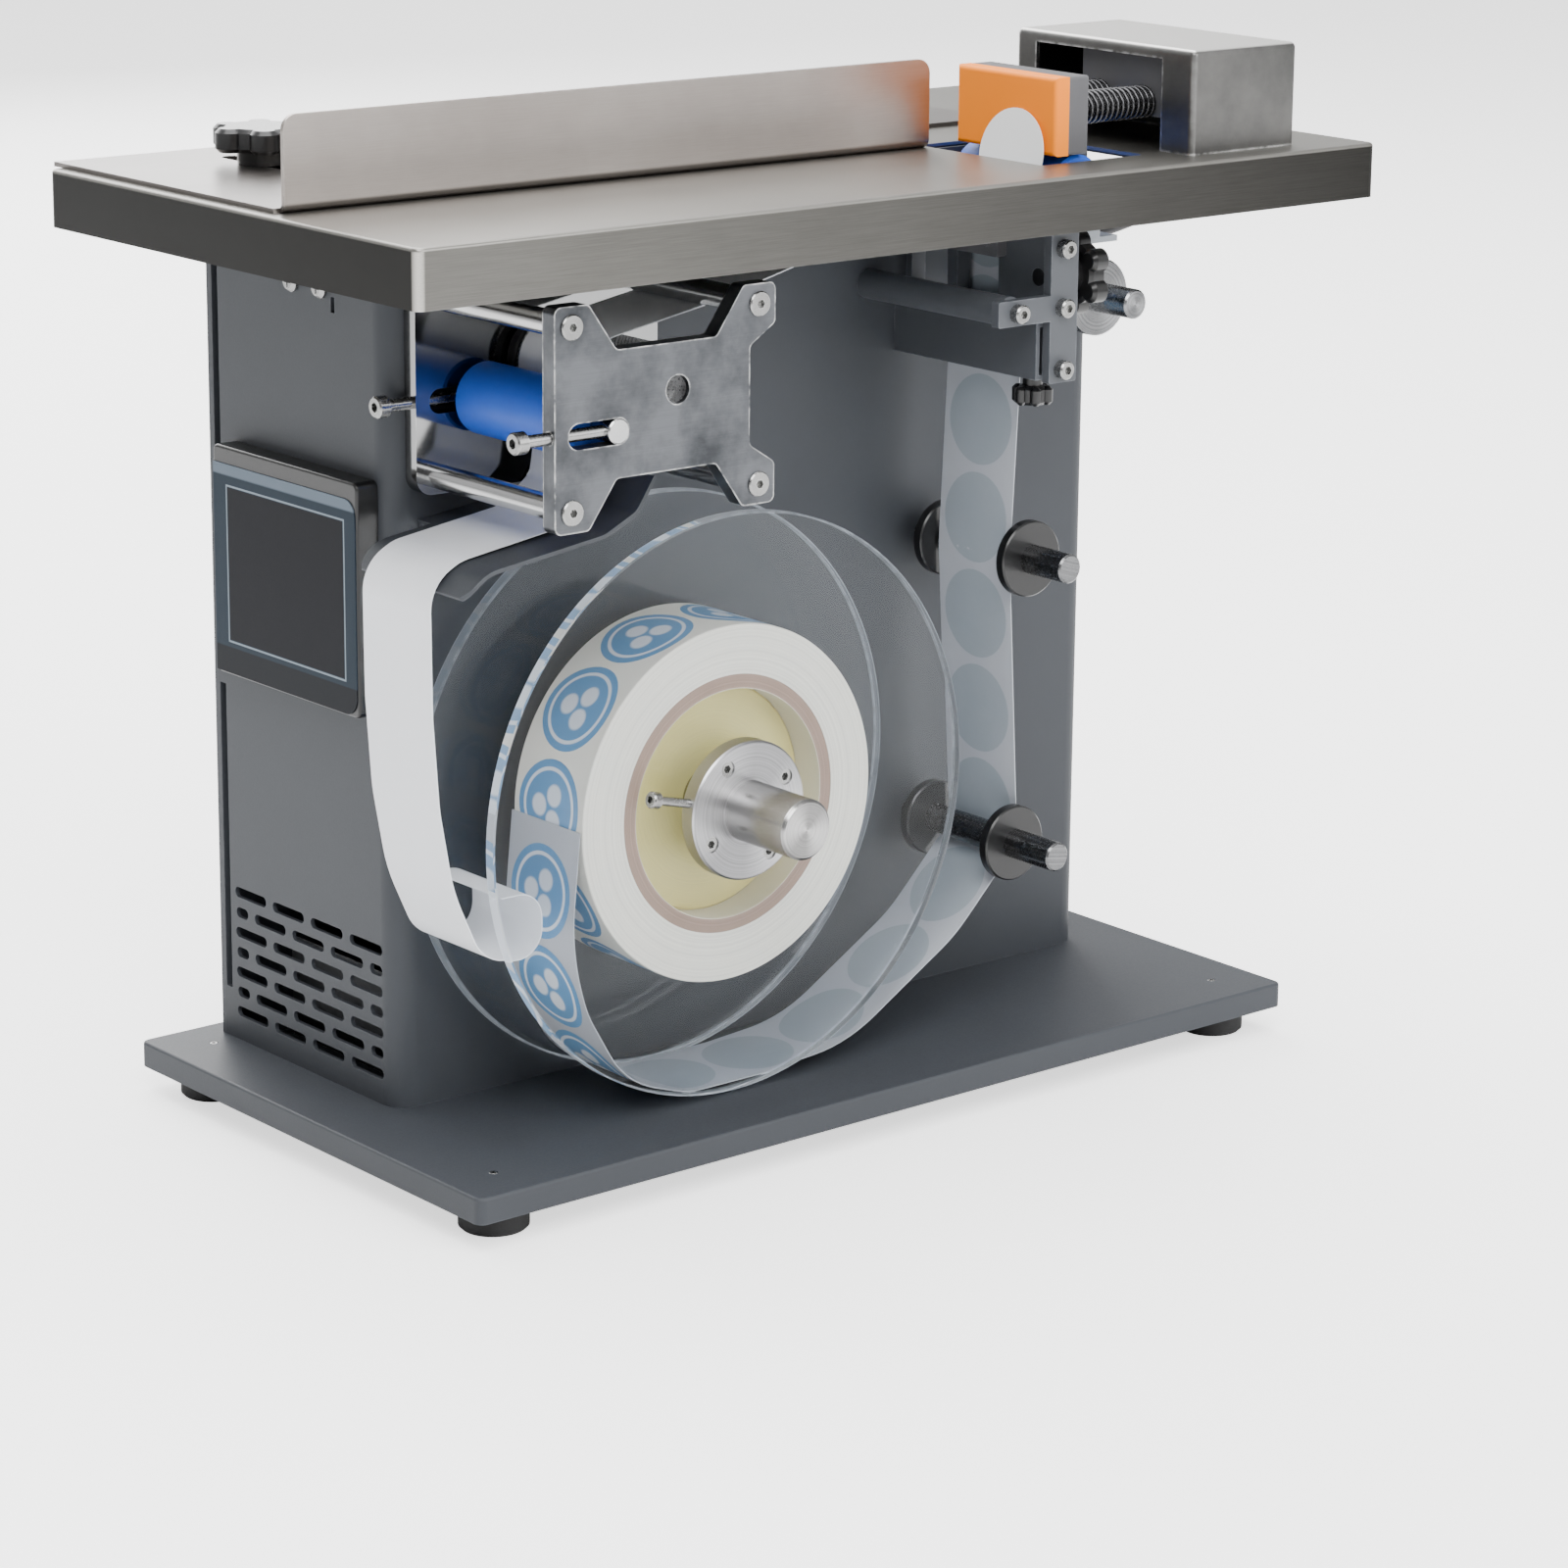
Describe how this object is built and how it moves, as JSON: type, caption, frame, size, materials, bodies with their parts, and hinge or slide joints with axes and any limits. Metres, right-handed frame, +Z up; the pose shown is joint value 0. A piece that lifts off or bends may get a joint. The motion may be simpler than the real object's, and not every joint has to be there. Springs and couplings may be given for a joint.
{
  "type": "corner labeling machine",
  "caption": "Bench machine that feeds round labels from a reel to a peel edge in a stainless table, for pressing onto the corners of cartons.",
  "frame": {"origin": "on the floor under the middle of the whole machine", "axes": "+Z up, +X from the operator panel towards the pusher, -Y towards the label reel"},
  "size_m": [0.4191, 0.215, 0.3487],
  "materials": {
    "powder_coat": "blue-grey powder coat",
    "stainless": "brushed",
    "polished_plate": "polished",
    "bright_steel": "ground bar",
    "spring_steel": "drawn wire",
    "zinc_screws": "bright",
    "black_steel": "black oxide",
    "black_plastic": "moulded",
    "dark_coat": "dark powder coat",
    "grey_coat": "grey powder coat",
    "orange_pad": "moulded",
    "grey_plastic": "machined",
    "blue_rubber": "ground rubber",
    "black_rubber": "moulded",
    "aluminium": "turned",
    "cream_nylon": "turned",
    "clear_acrylic": "clear",
    "roll_paper": "slit edge",
    "board": "spiral wound",
    "label_paper": "printed",
    "liner_paper": "silicone coated",
    "panel_face": "printed membrane",
    "machined_plate": "machined",
    "motor_black": "lacquer",
    "circuit_green": "solder resist",
    "supply_case": "punched",
    "grey_cable": "sheathed",
    "nickel": "nickel plated",
    "cast_steel": "machined"
  },
  "bodies": {
    "chassis": {"base_plate": "powder_coat", "rubber_feet": "black_rubber", "cabinet_shell": "powder_coat", "back_cover": "powder_coat", "pan_screws": "zinc_screws", "table_brackets": "grey_coat", "table_top": "stainless", "black_screws": "black_steel", "pusher_housing": "stainless", "guide_block": "grey_plastic", "microswitch": "black_plastic", "sensor_loom": "grey_cable", "loom_gland": "nickel", "press_roller_axle": "bright_steel", "press_roller_bracket": "grey_coat", "traction_back_plate": "polished_plate", "traction_front_plate": "machined_plate", "tie_rods": "bright_steel", "socket_screws": "zinc_screws", "bearings": "bright_steel", "stepper_motor": "motor_black", "waste_deflector": "powder_coat", "waste_liner": "liner_paper", "label_web": "label_paper", "reel_bearing_housing": "cast_steel", "guide_posts": "bright_steel", "guide_collars": "black_plastic", "peel_plate": "dark_coat", "peel_cover": "dark_coat", "peel_end_plate": "dark_coat", "label_sensor": "grey_plastic", "hmi_housing": "black_plastic", "hmi_screen": "panel_face", "control_board": "circuit_green", "power_supply": "supply_case", "power_inlet": "black_plastic"},
    "fence": {"fence": "stainless"},
    "fence_knob_left": {"fence_knob_left": "black_plastic"},
    "fence_knob_right": {"fence_knob_right": "black_plastic"},
    "pusher": {"pusher_pad": "orange_pad", "pusher_block": "grey_plastic", "pusher_rods": "bright_steel", "pusher_springs": "spring_steel"},
    "press_roller": {"press_roller": "blue_rubber"},
    "drive": {"drive_roller": "bright_steel", "drive_collar": "black_steel", "motor_shaft": "bright_steel"},
    "pinch_carriage": {"pinch_shaft": "bright_steel", "adjusting_bolts": "zinc_screws"},
    "pinch_roller": {"pinch_roller": "blue_rubber"},
    "reel": {"reel_discs": "clear_acrylic", "label_roll": "roll_paper", "roll_core": "board", "reel_hub": "cream_nylon", "hub_collar": "aluminium", "hub_screws": "zinc_screws", "reel_shaft": "bright_steel"},
    "peel_knob_side": {"peel_knob_side": "black_plastic"},
    "peel_knob_lower": {"peel_knob_lower": "black_plastic"},
    "rocker": {"rocker_switch": "black_plastic"}
  },
  "joints": [
    {"name": "fence_slide", "type": "slide", "parent": "chassis", "child": "fence", "axis": [0, 1, 0], "range_m": [-0.006, 0.06]},
    {"name": "fence_knob_left_turn", "type": "hinge", "parent": "chassis", "child": "fence_knob_left", "pos_m": [-0.1435, 0.0655, 0.3137], "axis": [0, 0, 1], "range_deg": [0, 360]},
    {"name": "fence_knob_right_turn", "type": "hinge", "parent": "chassis", "child": "fence_knob_right", "pos_m": [0.0475, 0.0655, 0.3137], "axis": [0, 0, 1], "range_deg": [0, 360]},
    {"name": "pusher_slide", "type": "slide", "parent": "chassis", "child": "pusher", "axis": [1, 0, 0], "range_m": [0, 0.02], "stiffness_N_per_m": 300, "springref_m": -0.005, "deforming": ["pusher_springs"]},
    {"name": "press_roller_turn", "type": "hinge", "parent": "chassis", "child": "press_roller", "pos_m": [0.0875, -0.0015, 0.3035], "axis": [0, 1, 0], "continuous": true},
    {"name": "drive_turn", "type": "hinge", "parent": "chassis", "child": "drive", "pos_m": [-0.0994, -0.0015, 0.2605], "axis": [0, 1, 0], "continuous": true},
    {"name": "pinch_slide", "type": "slide", "parent": "chassis", "child": "pinch_carriage", "axis": [-1, 0, 0], "range_m": [0, 0.014]},
    {"name": "pinch_turn", "type": "hinge", "parent": "pinch_carriage", "child": "pinch_roller", "pos_m": [-0.12229, -0.0015, 0.2502], "axis": [0, 1, 0], "continuous": true},
    {"name": "reel_turn", "type": "hinge", "parent": "chassis", "child": "reel", "pos_m": [-0.0571, -0.0015, 0.1159], "axis": [0, 1, 0], "continuous": true},
    {"name": "peel_knob_side_turn", "type": "hinge", "parent": "chassis", "child": "peel_knob_side", "pos_m": [0.0703, -0.0825, 0.2782], "axis": [1, 0, 0], "range_deg": [0, 360]},
    {"name": "peel_knob_lower_turn", "type": "hinge", "parent": "chassis", "child": "peel_knob_lower", "pos_m": [0.0635, -0.0775, 0.245], "axis": [0, 0, 1], "range_deg": [0, 360]},
    {"name": "rocker_tilt", "type": "hinge", "parent": "chassis", "child": "rocker", "pos_m": [0.145, 0.0325, 0.0706], "axis": [0, 1, 0], "range_deg": [-16, 0]}
  ],
  "couplings": [
    {"joint": "pinch_turn", "follows": "drive_turn", "ratio": -1.0862}
  ]
}
